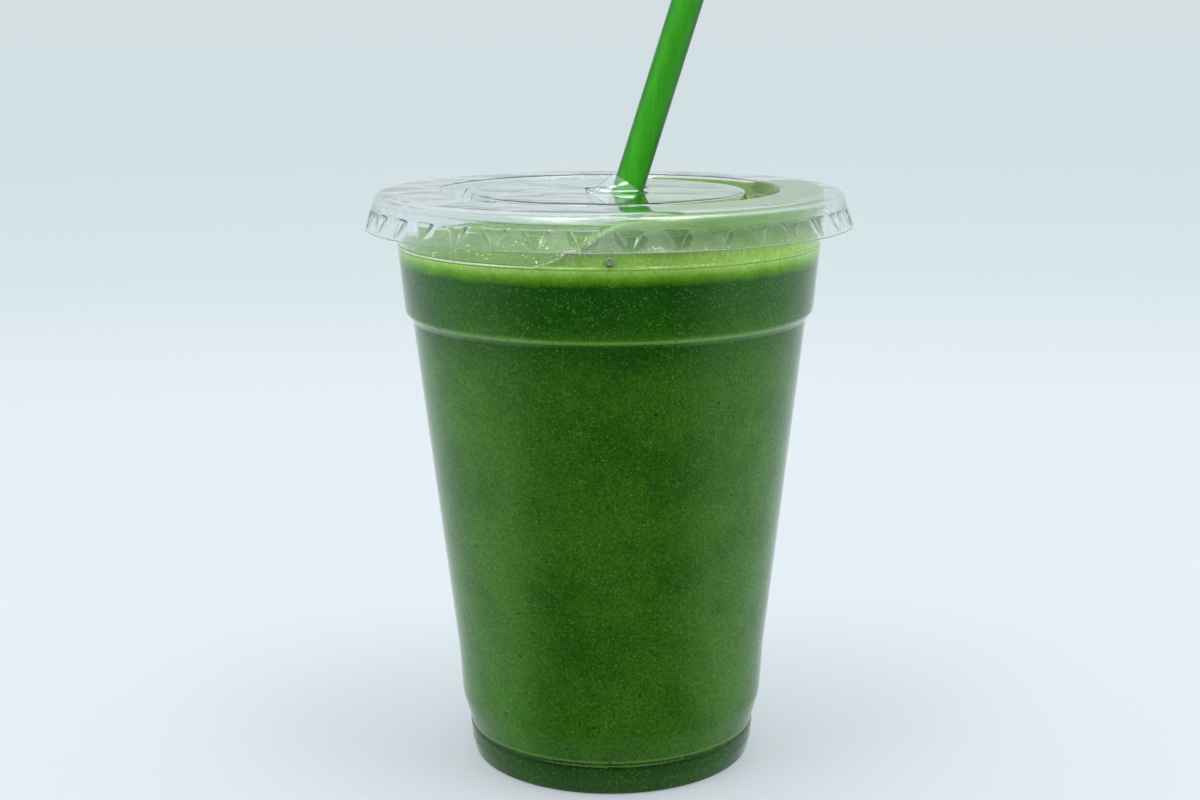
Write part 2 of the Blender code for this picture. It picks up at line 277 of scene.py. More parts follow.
# Painted highlights and a painted shade line where the cup's wall turns: height and half width in
# millimetres, colour, strength, and whether it shows only at the left.
HIGHLIGHT_AND_SHADE_LINES = (
    (97.0, 0.7, (104, 150, 66), 0.75, False),
    (7.45, 0.35, (96, 140, 62), 0.6, False),
    (111.14, 0.15, (44, 76, 20), 0.85, False),
    (111.45, 0.19, (245, 250, 240), 1.0, True),
)

# Where the drink's look changes on the wall: ragged near its bright top, and calm in it, with a pale film
# over the bank's edge at the left.
RAGGED_SPAN = (98.0 * MM, 107.0 * MM)
RAGGED_DEPTH = 1.3 * MM
CALM_SPAN = (110.5 * MM, 106.5 * MM)
CALM_SHARE = 0.35
LEFT_SPAN = (-12.0 * MM, -24.0 * MM)
FILM_HEIGHTS = (113.6 * MM, 115.2 * MM)
FILM_REACH = (16.0 * MM, -12.0 * MM)
FILM_SHARE = 0.85
FILM_TONE = (128, 154, 116)

# What is laid over the drink's tone there: broad patches and fine grain, both from dark to light, flecks,
# and more light where the wall turns away.
PATCH_TINTS = ((0.0, (0.7, 0.82, 0.5, 1.0)), (0.45, (1.08, 1.0, 0.9, 1.0)), (1.0, (1.2, 1.14, 1.9, 1.0)))
GRAIN_TINTS = ((0.0, (0.74, 0.8, 0.74, 1.0)), (1.0, (1.28, 1.2, 1.3, 1.0)))
LIGHT_FLECK_TONE = (84, 128, 56)
DARK_FLECK_TONE = (5, 36, 3)
TURNED_SPAN = (0.06, 0.17)
TURNED_TINT = (1.3, 1.34, 1.0, 1.0)

# Where it changes on the open face: from the level part to the bank, and where the lid presses on it.
BANK_TONE_SPAN = (111.4 * MM, 115.4 * MM)
BANK_TONE_DRIFT = 6.0 * MM
PRESSED_TONE_SPAN = (120.6 * MM, 122.0 * MM)

# Light flecks, small and large, then dark ones: cells to the metre, size in a cell, how rare and how strong.
FLECKS = (
    (1900.0, 0.37, 0.2, 0.75),
    (900.0, 0.22, 0.55, 0.9),
    (1500.0, 0.36, 0.3, 0.8),
    (330.0, 0.16, 0.5, 1.0),
)
FLECK_BEND = 0.3 * MM

# The paper: its colour near and far, the share of light that it gives itself, which keeps shadows soft, and
# how far behind the cup it changes. Reflections of the front meet dimmer paper, from a little off the cup.
FLOOR_RADIUS = 9.0
FLOOR_DROP = 0.05 * MM
PAPER_NEAR = (0.314, 0.340, 0.358, 1.0)
PAPER_FAR = (0.288, 0.322, 0.331, 1.0)
PAPER_GLOW = 0.78
PAPER_CHANGE = (0.37, 0.74)
DIM_PAPER = (0.045, 0.05, 0.051, 1.0)
DIM_PAPER_SPAN = (31.0 * MM, 50.0 * MM)
PAPER_DRIFT = 0.05

# Clear plastic: colour, index of refraction, tint of its reflections, scale and depth of its ripples.
CUP_CLEAR = ((0.98, 0.99, 0.99, 1.0), 1.5, (0.65, 1.0, 0.4, 1.0), 60.0, 0.08 * MM)
LID_CLEAR = ((0.95, 0.97, 0.97, 1.0), 1.57, (1.0, 1.0, 1.0, 1.0), 90.0, 0.05 * MM)

# The room: its wall, the light from above, and a dim front with one bright strip.
ROOM_WALL = (0.66, 0.735, 0.765, 1.0)
ROOM_TOP = (1.8, 1.88, 1.92, 1.0)
ROOM_TOP_SPAN = (0.35, 0.8)
ROOM_FRONT = (0.2, 0.22, 0.23, 1.0)
ROOM_FRONT_SPAN = (-0.4, -0.92)
ROOM_FRONT_END = (0.96, 0.88)
STRIP_LIGHT = (2.0, 2.08, 2.1, 1.0)
STRIP_FROM = (0.3, 0.38)
STRIP_TO = (0.66, 0.58)

# Soft panels of light: name, place, width, depth and power. All look at a spot in the cup.
PANEL_AIM = Vector((0.0, 0.0, 0.1))
PANELS = (
    ("panel_left", (-0.30, 0.05, 1.3), 0.36, 0.5, 1.0),
    ("panel_right", (0.42, 0.05, 1.3), 0.32, 0.5, 1.0),
    ("front_left", (-0.33, -0.34, 1.22), 0.3, 0.5, 3.2),
    ("front_right", (0.38, -0.29, 1.22), 0.3, 0.5, 3.2),
    ("panel_over", (0.02, 0.2, 1.3), 0.12, 0.12, 0.3),
)

# How often light may pass or bounce between the clear walls.
BOUNCES = 24
BOUNCES_THROUGH = 20
BOUNCES_OFF = 10


def srgb(red, green, blue):
    """A colour given in the 0 to 255 of a picture, in linear light."""
    made = []
    for value in (red, green, blue):
        share = value / 255.0
        made.append(share / 12.92 if share <= 0.04045 else ((share + 0.055) / 1.055) ** 2.4)
    return (*made, 1.0)


def lit(colour):
    """The colour to paint the drink so that it looks like that in the studio's light."""
    return (*(min(1.0, DRINK_GAIN * c) for c in srgb(*colour)[:3]), 1.0)


def smooth_step(value, low, high):
    share = min(1.0, max(0.0, (value - low) / (high - low)))
    return share * share * (3.0 - 2.0 * share)


def mix(first, second, share):
    return first + (second - first) * share


# Mesh tools


def rounded(corners, segments=6):
    """A path of radii and heights through corners given in millimetres, each with its own rounding."""
    path = []
    for i, (radius, height, size) in enumerate(corners):
        here = Vector((radius, height)) * MM
        if size == 0.0 or i in (0, len(corners) - 1):
            path.append(here)
            continue
        before = Vector(corners[i - 1][:2]) * MM - here
        after = Vector(corners[i + 1][:2]) * MM - here
        turn = math.pi - before.angle(after)
        cut = min(size * MM * math.tan(0.5 * turn), 0.48 * before.length, 0.48 * after.length)
        start = here + before.normalized() * cut
        end = here + after.normalized() * cut
        for k in range(segments + 1):
            share = k / segments
            first = start.lerp(here, share)
            second = here.lerp(end, share)
            path.append(first.lerp(second, share))
    return path


def subdivided(path, longest):
    """The same path with its long runs split into runs no longer than that."""
    made = [path[0]]
    for here, after in zip(path, path[1:]):
        parts = max(1, math.ceil((after - here).length / longest))
        made += [here.lerp(after, k / parts) for k in range(1, parts + 1)]
    return made


def arc(centre, radius, start, end, steps):
    angles = [math.radians(mix(start, end, i / steps)) for i in range(steps + 1)]
    return [Vector((centre[0] + radius * math.cos(a), centre[1] + radius * math.sin(a))) for a in angles]


def spun(path, steps, closed=False):
    """A path of radii and heights turned about Z, with its faces pointing out from it."""
    work = bmesh.new()
    verts = [work.verts.new((point.x, 0.0, point.y)) for point in path]
    edges = [work.edges.new(pair) for pair in zip(verts, verts[1:])]
    if closed:
        edges.append(work.edges.new((verts[-1], verts[0])))
    bmesh.ops.spin(
        work, geom=verts + edges, cent=(0, 0, 0), axis=(0, 0, 1), angle=math.tau, steps=steps, use_merge=True
    )
    bmesh.ops.remove_doubles(work, verts=work.verts, dist=MERGE)
    work.normal_update()
    return work


def face_out(work, height):
    """Turns an open sheet so that its wall at that height looks away from the axis."""
    wall = min(work.faces, key=lambda f: abs(f.calc_center_median().z - height))
    if wall.normal.xy.dot(wall.calc_center_median().xy) < 0.0:
        bmesh.ops.reverse_faces(work, faces=work.faces)


def piece(name, work, materials):
    """A finished mesh as an object that rides on the body. Open edges stay crisp once the sheet is thick."""
    mesh = bpy.data.meshes.new(name)
    for edge in work.edges:
        if edge.is_boundary:
            edge.smooth = False
    work.to_mesh(mesh)
    work.free()
    for face in mesh.polygons:
        face.use_smooth = True
    mesh.update()
    for material in materials:
        mesh.materials.append(material)
    made = bpy.data.objects.new(name, mesh)
    bpy.context.scene.collection.objects.link(made)
    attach(made, "root")
    return made


def thicken(obj, wall, even=True):
    shell = obj.modifiers.new("wall", "SOLIDIFY")
    shell.thickness = wall
    shell.offset = -1.0
    shell.use_even_offset = even


# Materials


class Nodes:
    """A short way to add and join the nodes of one tree."""

    def __init__(self, tree):
        self.tree = tree

    def add(self, kind, settings=None, **inputs):
        node = self.tree.nodes.new(kind)
        for name, value in (settings or {}).items():
            setattr(node, name, value)
        for name, value in inputs.items():
            self.feed(node.inputs[name.replace("_", " ")], value)
        return node

    def feed(self, socket, value):
        if isinstance(value, bpy.types.NodeSocket):
            self.tree.links.new(value, socket)
        else:
            socket.default_value = value

    def math(self, operation, first, second=None):
        node = self.tree.nodes.new("ShaderNodeMath")
        node.operation = operation
        self.feed(node.inputs[0], first)
        if second is not None:
            self.feed(node.inputs[1], second)
        return node.outputs[0]

    def mix(self, share, first, second, blend="MIX"):
        node = self.tree.nodes.new("ShaderNodeMix")
        node.data_type = "RGBA"
        node.blend_type = blend
        self.feed(node.inputs[0], share)
        self.feed(node.inputs[6], first)
        self.feed(node.inputs[7], second)
        return node.outputs[2]

    def span(self, value, low, high, out_low=0.0, out_high=1.0):
        node = self.tree.nodes.new("ShaderNodeMapRange")
        node.interpolation_type = "SMOOTHSTEP"
        for socket, given in zip(node.inputs, (value, low, high, out_low, out_high)):
            self.feed(socket, given)
        return node.outputs[0]

    def ramp(self, value, stops):
        node = self.tree.nodes.new("ShaderNodeValToRGB")
        self.feed(node.inputs[0], value)
        points = node.color_ramp.elements
        while len(points) < len(stops):
            points.new(0.5)
        for point, (place, colour) in zip(points, stops):
            point.position = place
            point.color = colour
        return node.outputs[0]


def new_material(name, **inputs):
    """A material whose surface has those inputs and already reaches the output."""
    made = bpy.data.materials.new(name)
    made.use_nodes = True
    made.node_tree.nodes.clear()
    nodes = Nodes(made.node_tree)
    surface = nodes.add("ShaderNodeBsdfPrincipled", **inputs)
    output = nodes.add("ShaderNodeOutputMaterial", Surface=surface.outputs[0])
    return made, nodes, surface, output


def new_group(name, inputs, outputs):
    tree = bpy.data.node_groups.new(name, "ShaderNodeTree")
    for label, kind in inputs:
        tree.interface.new_socket(label, in_out="INPUT", socket_type=kind)
    for label, kind in outputs:
        tree.interface.new_socket(label, in_out="OUTPUT", socket_type=kind)
    nodes = Nodes(tree)
    return tree, nodes, nodes.add("NodeGroupInput"), nodes.add("NodeGroupOutput")


def ripple_group():
    """The faint unevenness of formed plastic, as a height."""
    tree, nodes, given, out = new_group(
        "plastic_ripple",
        (("Vector", "NodeSocketVector"), ("Scale", "NodeSocketFloat"), ("Fine", "NodeSocketFloat")),
        (("Height", "NodeSocketFloat"),),
    )
    broad = nodes.add("ShaderNodeTexNoise", Vector=given.outputs[0], Scale=given.outputs[1], Detail=1.5)
    fine_scale = nodes.math("MULTIPLY", given.outputs[1], 4.3)
    fine = nodes.add("ShaderNodeTexNoise", Vector=given.outputs[0], Scale=fine_scale, Detail=1.0)
    fine_part = nodes.math("MULTIPLY", fine.outputs[0], given.outputs[2])
    nodes.feed(out.inputs[0], nodes.math("ADD", broad.outputs[0], fine_part))
    return tree


def fleck_group():
    """Blended leaf and fruit in the drink: broad patches, fine grain, light flecks and dark flecks."""
    tree, nodes, given, out = new_group(
        "blended_flecks",
        (("Vector", "NodeSocketVector"),),
        (
            ("Patches", "NodeSocketFloat"),
            ("Grain", "NodeSocketFloat"),
            ("Light", "NodeSocketFloat"),
            ("Dark", "NodeSocketFloat"),
        ),
    )
    vector = given.outputs[0]
    broad = nodes.add("ShaderNodeTexNoise", Vector=vector, Scale=70.0, Detail=3.0, Roughness=0.7)
    fine = nodes.add("ShaderNodeTexNoise", Vector=vector, Scale=1500.0, Detail=2.0, Roughness=0.7)
    nodes.feed(out.inputs[0], nodes.span(broad.outputs[0], 0.34, 0.66))
    nodes.feed(out.inputs[1], nodes.span(fine.outputs[0], 0.36, 0.64))
    bent = nodes.add("ShaderNodeTexNoise", Vector=vector, Scale=900.0, Detail=2.0)
    shifted = nodes.tree.nodes.new("ShaderNodeVectorMath")
    shifted.operation = "MULTIPLY_ADD"
    nodes.feed(shifted.inputs[0], bent.outputs[1])
    shifted.inputs[1].default_value = (FLECK_BEND, FLECK_BEND, FLECK_BEND)
    nodes.feed(shifted.inputs[2], vector)
    masks = []
    for scale, size, rarity, strength in FLECKS:
        cells = nodes.add("ShaderNodeTexVoronoi", Vector=shifted.outputs[0], Scale=scale, Randomness=1.0)
        chance = nodes.add("ShaderNodeSeparateColor", Color=cells.outputs["Color"])
        dot = nodes.span(cells.outputs["Distance"], size, 0.45 * size, 0.0, strength)
        kept = nodes.span(chance.outputs[0], rarity, 1.0)
        masks.append(nodes.math("MULTIPLY", dot, kept))
    nodes.feed(out.inputs[2], nodes.math("MAXIMUM", masks[0], masks[1]))
    nodes.feed(out.inputs[3], nodes.math("MAXIMUM", masks[2], masks[3]))
    return tree


def clear_plastic(name, look, ripple):
    """Clear plastic that lets the lamps' light through to what lies behind it."""
    colour, ior, tint, scale, depth = look
    made, nodes, surface, output = new_material(
        name, Base_Color=colour, Roughness=0.0, IOR=ior, Specular_Tint=tint, Transmission_Weight=1.0
    )
    place = nodes.add("ShaderNodeTexCoord").outputs["Object"]
    wave = nodes.add("ShaderNodeGroup", {"node_tree": ripple}, Vector=place, Scale=scale, Fine=0.1)
    bump = nodes.add("ShaderNodeBump", Strength=1.0, Distance=depth, Height=wave.outputs[0])
    nodes.feed(surface.inputs["Normal"], bump.outputs[0])
    passing = nodes.add("ShaderNodeBsdfTransparent", Color=(0.93, 0.95, 0.95, 1.0))
    path = nodes.add("ShaderNodeLightPath")
    blend = nodes.tree.nodes.new("ShaderNodeMixShader")
    nodes.feed(blend.inputs[0], path.outputs["Is Shadow Ray"])
    nodes.feed(blend.inputs[1], surface.outputs[0])
    nodes.feed(blend.inputs[2], passing.outputs[0])
    nodes.feed(output.inputs[0], blend.outputs[0])
    return made


def straw_plastic():
    """Slightly see-through green plastic with streaks along the straw, with painted shade deeper where it
    turns away.
    """
    made, nodes, surface, _ = new_material(
        "green_straw_plastic",
        Roughness=0.35,
        Specular_IOR_Level=0.3,
        IOR=1.45,
        Subsurface_Weight=0.35,
        Subsurface_Radius=(0.4, 1.0, 0.3),
        Subsurface_Scale=1.2 * MM,
    )
    place = nodes.add("ShaderNodeTexCoord").outputs["Object"]
    stretched = nodes.add("ShaderNodeMapping", Vector=place)
    stretched.inputs["Rotation"].default_value = (0.0, -STRAW_TILT, 0.0)
    stretched.inputs["Scale"].default_value = (1.0, 1.0, 0.06)
    along = stretched.outputs[0]
    streak = nodes.add("ShaderNodeTexNoise", Vector=along, Scale=900.0, Detail=3.0, Roughness=0.6)
    tone = nodes.ramp(streak.outputs[0], ((0.3, srgb(53, 160, 24)), (0.7, srgb(68, 180, 34))))
    # Painted shade towards the straw's edges, where it turns away.
    turned = nodes.span(nodes.add("ShaderNodeLayerWeight").outputs["Facing"], 0.08, 0.6)
    nodes.feed(surface.inputs["Base Color"], nodes.mix(turned, tone, (0.4, 0.45, 0.75, 1.0), "MULTIPLY"))
    bump = nodes.add("ShaderNodeBump", Strength=0.15, Distance=0.1 * MM, Height=streak.outputs[0])
    nodes.feed(surface.inputs["Normal"], bump.outputs[0])
    return made


def drink_side(flecks):
    """The drink where it lies against the cup: painted light where light comes in from the top, painted
    shade below.
    """
    made, nodes, surface, _ = new_material("smoothie_against_cup", Roughness=0.6, Specular_IOR_Level=0.05)
    place = nodes.add("ShaderNodeTexCoord").outputs["Object"]
    parts = nodes.add("ShaderNodeSeparateXYZ", Vector=place)
    across, up = parts.outputs[0], parts.outputs[2]
    ragged = nodes.add("ShaderNodeTexNoise", Vector=place, Scale=190.0, Detail=3.0, Roughness=0.6)
    offset = nodes.math("MULTIPLY", nodes.math("SUBTRACT", ragged.outputs[0], 0.5), RAGGED_DEPTH)
    height = nodes.math("ADD", up, nodes.math("MULTIPLY", offset, nodes.span(up, *RAGGED_SPAN)))
    share = nodes.math("DIVIDE", height, SIDE_TOP * MM)
    tone = nodes.ramp(share, [(z / SIDE_TOP, lit(colour)) for z, colour in SIDE_COLOURS])
    masks = nodes.add("ShaderNodeGroup", {"node_tree": flecks}, Vector=place)
    calm = nodes.span(up, *CALM_SPAN, CALM_SHARE, 1.0)
    tone = nodes.mix(calm, tone, nodes.ramp(masks.outputs["Patches"], PATCH_TINTS), "MULTIPLY")
    tone = nodes.mix(calm, tone, nodes.ramp(masks.outputs["Grain"], GRAIN_TINTS), "MULTIPLY")
    turned = nodes.span(nodes.add("ShaderNodeLayerWeight").outputs["Facing"], *TURNED_SPAN)
    tone = nodes.mix(nodes.math("MULTIPLY", turned, calm), tone, TURNED_TINT, "MULTIPLY")
    left = nodes.span(across, *LEFT_SPAN)
    # Painted highlights and a painted shade line along the turns of the wall.
    for middle, half, colour, strength, left_only in HIGHLIGHT_AND_SHADE_LINES:
        off = nodes.math("ABSOLUTE", nodes.math("SUBTRACT", up, middle * MM))
        line = nodes.span(off, half * MM, 0.0, 0.0, strength)
        if left_only:
            line = nodes.math("MULTIPLY", line, left)
        tone = nodes.mix(line, tone, lit(colour))
    film_above = nodes.span(up, *FILM_HEIGHTS, 0.0, FILM_SHARE)
    film = nodes.math("MULTIPLY", film_above, nodes.span(across, *FILM_REACH))
    tone = nodes.mix(film, tone, lit(FILM_TONE))
    tone = nodes.mix(masks.outputs["Light"], tone, lit(LIGHT_FLECK_TONE))
    tone = nodes.mix(nodes.math("MULTIPLY", masks.outputs["Dark"], calm), tone, lit(DARK_FLECK_TONE))
    nodes.feed(surface.inputs["Base Color"], tone)
    return made


def drink_top(flecks):
    """The drink's open face under the lid: wet, foamy and lit from above."""
    made, nodes, surface, _ = new_material("smoothie_top", Roughness=0.42, Specular_IOR_Level=0.12)
    place = nodes.add("ShaderNodeTexCoord").outputs["Object"]
    up = nodes.add("ShaderNodeSeparateXYZ", Vector=place).outputs[2]
    masks = nodes.add("ShaderNodeGroup", {"node_tree": flecks}, Vector=place)
    level = nodes.ramp(masks.outputs["Patches"], ((0.0, srgb(62, 98, 18)), (1.0, srgb(84, 122, 34))))
    bank = nodes.ramp(masks.outputs["Patches"], ((0.0, srgb(88, 134, 4)), (1.0, srgb(124, 166, 26))))
    bank = nodes.mix(nodes.span(up, *PRESSED_TONE_SPAN), bank, srgb(98, 138, 30))
    drift = nodes.add("ShaderNodeTexNoise", Vector=place, Scale=170.0, Detail=4.0, Roughness=0.65)
    shift = nodes.math("MULTIPLY", nodes.math("SUBTRACT", drift.outputs[0], 0.5), BANK_TONE_DRIFT)
    tone = nodes.mix(nodes.span(nodes.math("ADD", up, shift), *BANK_TONE_SPAN), level, bank)
    tone = nodes.mix(masks.outputs["Light"], tone, srgb(176, 200, 112))
    tone = nodes.mix(masks.outputs["Dark"], tone, srgb(52, 96, 14))
    nodes.feed(surface.inputs["Base Color"], tone)
    froth = nodes.add("ShaderNodeTexVoronoi", Vector=place, Scale=900.0)
    bump = nodes.add("ShaderNodeBump", Strength=0.5, Distance=0.2 * MM, Height=froth.outputs["Distance"])
    nodes.feed(surface.inputs["Normal"], bump.outputs[0])
    return made


def foam():
    """Wet bubbles of paler froth."""
    made, nodes, surface, _ = new_material("foam_bubbles", Roughness=0.15, Coat_Weight=0.5)
    place = nodes.add("ShaderNodeTexCoord").outputs["Object"]
    vary = nodes.add("ShaderNodeTexNoise", Vector=place, Scale=600.0)
    tone = nodes.ramp(vary.outputs[0], ((0.3, srgb(170, 196, 104)), (0.7, srgb(232, 238, 204))))
    nodes.feed(surface.inputs["Base Color"], tone)
    return made


def pale_edge_highlight():
    """Cut plastic, whose edge is painted pale: partly the frosted cut itself, partly a painted highlight
    along it.
    """
    return new_material("cut_edge_highlight", Base_Color=srgb(150, 170, 152), Roughness=0.3)[0]


def creased_plastic():
    """Plastic bent sharply in the skirt's folds, which turns cloudy there."""
    tint = (0.8, 0.87, 0.82, 1.0)
    look = {"Base_Color": tint, "Roughness": 0.16, "IOR": 1.45, "Transmission_Weight": 0.93}
    return new_material("creased_lid_plastic", **look)[0]


def nub_plastic():
    """The moulded mark is duller than the wall round it, with painted shade below."""
    made, nodes, surface, _ = new_material("moulded_mark", Roughness=0.25)
    place = nodes.add("ShaderNodeTexCoord").outputs["Object"]
    up = nodes.add("ShaderNodeSeparateXYZ", Vector=place).outputs[2]
    # Painted shade over the mark's lower part.
    tone = nodes.mix(nodes.span(up, *NUB_SHADE_SPAN), srgb(150, 172, 128), srgb(46, 72, 30))
    nodes.feed(surface.inputs["Base Color"], tone)
    return made


def front_share(nodes, vector):
    """How far a direction or a place lies to the front, where the room before the cup is dark."""
    level = nodes.add("ShaderNodeSeparateXYZ", Vector=vector)
    flat = nodes.add("ShaderNodeCombineXYZ", X=level.outputs[0], Y=level.outputs[1])
    unit = nodes.tree.nodes.new("ShaderNodeVectorMath")
    unit.operation = "NORMALIZE"
    nodes.feed(unit.inputs[0], flat.outputs[0])
    ahead = nodes.add("ShaderNodeSeparateXYZ", Vector=unit.outputs[0])
    return nodes.span(ahead.outputs[1], *ROOM_FRONT_SPAN), level


def floor_paint():
    """Pale paper whose tone changes softly well behind the cup. Reflections meet a dimmer front."""
    made, nodes, surface, _ = new_material(
        "pale_paper",
        Roughness=0.7,
        Specular_IOR_Level=0.2,
        Emission_Strength=PAPER_GLOW,
    )
    place = nodes.add("ShaderNodeTexCoord").outputs["Object"]
    front, parts = front_share(nodes, place)
    cloud = nodes.add("ShaderNodeTexNoise", Vector=place, Scale=2.2, Detail=2.0)
    drift = nodes.math("MULTIPLY", nodes.math("SUBTRACT", cloud.outputs[0], 0.5), PAPER_DRIFT)
    away = nodes.math("ADD", parts.outputs[1], drift)
    tone = nodes.mix(nodes.span(away, *PAPER_CHANGE), PAPER_NEAR, PAPER_FAR)
    distance = nodes.tree.nodes.new("ShaderNodeVectorMath")
    distance.operation = "LENGTH"
    nodes.feed(distance.inputs[0], place)
    clear_of_cup = nodes.span(distance.outputs["Value"], *DIM_PAPER_SPAN)
    path = nodes.add("ShaderNodeLightPath")
    seen = nodes.math("MAXIMUM", path.outputs["Is Camera Ray"], path.outputs["Is Transmission Ray"])
    unseen = nodes.math("SUBTRACT", 1.0, seen)
    dim = nodes.math("MULTIPLY", nodes.math("MULTIPLY", front, clear_of_cup), unseen)
    painted = nodes.mix(dim, tone, DIM_PAPER)
    nodes.feed(surface.inputs["Base Color"], painted)
    nodes.feed(surface.inputs["Emission Color"], painted)
    return made


# Cup


def cup_path():
    """The cup's outer side as a path, from the rim's lip over the rim and down to the middle of its base."""
    rim = [Vector((RIM_CENTRE[0] + RIM_UNDER_RADIUS, RIM_LIP_HEIGHT))]
    rim += arc(RIM_CENTRE, RIM_UNDER_RADIUS, 0.0, 180.0, RIM_ARC_STEPS)
    last = ((RIM_CENTRE[0] - RIM_UNDER_RADIUS) / MM, RIM_CENTRE[1] / MM, 0.0)
    return rim + rounded((last, *CUP_CORNERS))[1:]


def build_cup(material):
    work = spun(subdivided(cup_path(), CUP_LONGEST_RUN), CUP_STEPS)
    face_out(work, CUP_MIDDLE_HEIGHT)
    cup = piece("clear_cup", work, [material])
    thicken(cup, CUP_WALL)
    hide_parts("cup")
    return cup


def wall_radius(height):
    """The cup's outer radius at that height, above its foot."""
    path = cup_path()[RIM_POINTS:]
    for here, after in zip(path, path[1:]):
        if after.y <= height <= here.y:
            share = (here.y - height) / max(here.y - after.y, TINY)
            return mix(here.x, after.x, share)
    return path[0].x


# Lid


def mark_folds(work):
    """Gives the faces where the skirt will be folded sharply the creased plastic."""
    for face in work.faces:
        x, y, z = face.calc_center_median()
        column = int(math.atan2(y, x) / math.tau * LID_STEPS + 2 * LID_STEPS) % FOLD_COLUMNS
        if column in SHARP_FOLDS and FLUTE_BOTTOM < z < FLUTE_TOP and math.hypot(x, y) > SKIRT_INSIDE:
            face.material_index = 1


def flute(work):
    """Folds the skirt into panels that lie in and out by turns, deep at its top and gone at its edge."""
    rng = random.Random(FLUTE_SEED)
    habits = [[rng.uniform(*span) for span in FLUTE_HABITS] for _ in range(FLUTES)]
    period = math.tau / FLUTES
    for vert in work.verts:
        x, y, z = vert.co
        radius = math.hypot(x, y)
        if z > FLUTE_TOP or radius < SKIRT_INSIDE:
            continue
        share = max(0.0, (z - FLUTE_BOTTOM) / (FLUTE_TOP - FLUTE_BOTTOM))
        column = round(math.atan2(y, x) / math.tau * LID_STEPS) % LID_STEPS
        index, fold = divmod(column, FOLD_COLUMNS)
        depth, shift, lean = habits[index]
        half = mix(FLUTE_HALF_LOW, FLUTE_HALF_TOP, share)
        outer = half + FLUTE_FOLD
        third = (period - 2.0 * outer) / 3.0
        places = (-outer, -half, -half / 3.0, half / 3.0, half, outer, outer + third, outer + 2.0 * third)
        middle = (index + FLUTE_PLACE) * period + math.radians(shift + lean * (share - 0.5))
        turn = middle + places[fold]
        if PRESSED_COLUMNS[0] <= fold <= PRESSED_COLUMNS[1]:
            radius -= FLUTE_DEPTH * depth * share ** FLUTE_DEPTH_POWER
        vert.co = (radius * math.cos(turn), radius * math.sin(turn), z)


def square_slot(work):
    """Moves the innermost loop onto the square that the cross cut opens."""
    for vert in work.verts:
        if math.hypot(*vert.co.xy) > SLOT_LOOP_RADIUS + MERGE:
            continue
        way = vert.co.xy.normalized()
        reach = SLOT_HALF / max(abs(way.x), abs(way.y))
        vert.co = SLOT_MIDDLE + Vector((way.x * reach, way.y * reach, DISC_TOP))


def side_edges(work, heading):
    """The slot's edges along one side of the square, without those at its ends."""
    out = Vector((math.cos(heading), math.sin(heading)))
    along = Vector((-out.y, out.x))
    limit = SLOT_HALF - FLAP_GAP
    found = []
    for edge in work.edges:
        if not edge.is_boundary:
            continue
        places = [(v.co - SLOT_MIDDLE).xy for v in edge.verts]
        if all(abs(p.dot(out) - SLOT_HALF) < ON_LINE and abs(p.dot(along)) < limit for p in places):
            found.append(edge)
    return found


def flap_point(heading, across, share, shape):
    """Where a point of a flap lies: its place along the hinge, and its share of the way to the tip."""
    out = Vector((math.cos(heading), math.sin(heading), 0.0))
    along = Vector((-out.y, out.x, 0.0))
    hinge = SLOT_MIDDLE + out * SLOT_HALF + Vector((0.0, 0.0, DISC_TOP))
    inward, height = shape(share)
    return hinge + along * across * (1.0 - share) - out * inward + Vector((0.0, 0.0, height))


def hanging(angle):
    """The run of a flap that bends down at its hinge and goes straight on from there."""

    def shape(share):
        inward = height = 0.0
        run = SLOT_HALF * share / FLAP_BEND_STEPS
        for k in range(FLAP_BEND_STEPS):
            here = share * (k + 0.5) / FLAP_BEND_STEPS
            slope = angle * smooth_step(here, 0.0, FLAP_BEND_SHARE)
            inward += run * math.cos(slope)
            height -= run * math.sin(slope)
        return inward, height

    return shape


def fold_front_flap(point):
    """Turns what lies beyond the crease of the front flap about the crease."""
    start = SLOT_MIDDLE + Vector((-SLOT_HALF, -SLOT_HALF, DISC_TOP))
    line = (FRONT_CREASE_END - start).normalized()
    normal = Vector((0.0, -math.sin(FRONT_FLAP_RISE), math.cos(FRONT_FLAP_RISE)))
    offset = (point - start).dot(normal.cross(line))
    if offset <= 0.0:
        return point
    turn = FRONT_FLAP_FOLD * smooth_step(offset, 0.0, FRONT_CREASE_WIDTH)
    return start + Matrix.Rotation(turn, 3, line) @ (point - start)


def add_flap(work, heading, shape, finish=None):
    """Extrudes a flap from the slot's side, row by row to its tip."""
    edges = side_edges(work, heading)
    along = Vector((-math.sin(heading), math.cos(heading), 0.0))
    layer = work.verts.layers.float["across"]
    for row, share in enumerate(FLAP_ROWS):
        made = bmesh.ops.extrude_edge_only(work, edges=edges)["geom"]
        new = [g for g in made if isinstance(g, bmesh.types.BMVert)]
        edges = [g for g in made if isinstance(g, bmesh.types.BMEdge) and g.is_boundary]
        edges = [e for e in edges if all(v in new for v in e.verts)]
        for vert in new:
            if row == 0:
                vert[layer] = (vert.co - SLOT_MIDDLE).dot(along)
            point = flap_point(heading, vert[layer], share, shape)
            vert.co = finish(point) if finish else point


def swell_top(work):
    """Lets the disc, the channel and the ring rise and fall a little, as formed plastic does."""
    for vert in work.verts:
        x, y, z = vert.co
        radius = math.hypot(x, y)
        if radius < SWELL_EDGE:
            swell = noise.noise(Vector((x, y, 0.0)) * SWELL_SCALE) * SWELL
            vert.co.z += swell * smooth_step(radius, *SWELL_SPAN)


